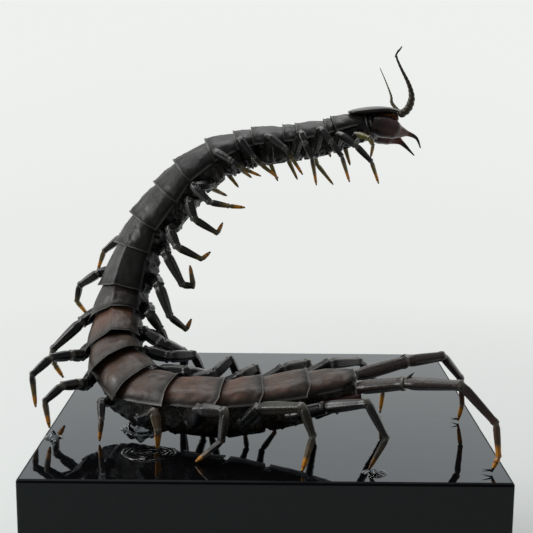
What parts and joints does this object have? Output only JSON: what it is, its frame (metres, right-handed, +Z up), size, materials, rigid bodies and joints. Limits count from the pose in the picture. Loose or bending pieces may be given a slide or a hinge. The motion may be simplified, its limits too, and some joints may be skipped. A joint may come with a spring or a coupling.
{
  "type": "mounted centipede on resin block",
  "caption": "Dried giant centipede rearing up in an arch on a square block of glossy black resin, held by dabs of clear resin.",
  "frame": {"origin": "centre of the block's underside", "axes": "+Z up, +X the way the head and the tail point, +Y to the back of the block"},
  "size_m": [0.1262, 0.12, 0.1641],
  "materials": {
    "block": "mirror gloss",
    "plate": "satin",
    "leg": "satin",
    "forcipule": "satin",
    "antenna": "matt",
    "resin": "clear gloss"
  },
  "bodies": {
    "root": {"block": "block", "trunk": "plate", "head": "plate", "right_antenna": "antenna", "left_antenna": "antenna", "right_forcipule": "forcipule", "left_forcipule": "forcipule", "right_leg_01": "leg", "right_leg_02": "leg", "right_leg_03": "leg", "right_leg_04": "leg", "right_leg_05": "leg", "right_leg_06": "leg", "right_leg_07": "leg", "right_leg_08": "leg", "right_leg_09": "leg", "right_leg_10": "leg", "right_leg_11": "leg", "right_leg_12": "leg", "right_leg_13": "leg", "right_leg_14": "leg", "right_leg_15": "leg", "right_leg_16": "leg", "right_leg_17": "leg", "right_leg_18": "leg", "right_leg_19": "leg", "right_leg_20": "leg", "right_leg_21": "leg", "left_leg_01": "leg", "left_leg_02": "leg", "left_leg_03": "leg", "left_leg_04": "leg", "left_leg_05": "leg", "left_leg_06": "leg", "left_leg_07": "leg", "left_leg_08": "leg", "left_leg_09": "leg", "left_leg_10": "leg", "left_leg_11": "leg", "left_leg_12": "leg", "left_leg_13": "leg", "left_leg_14": "leg", "left_leg_15": "leg", "left_leg_16": "leg", "left_leg_17": "leg", "left_leg_18": "leg", "left_leg_19": "leg", "left_leg_20": "leg", "left_leg_21": "leg", "resin_leg_15": "resin", "resin_leg_17": "resin", "resin_leg_20": "resin", "resin_under_trunk": "resin"}
  },
  "joints": []
}
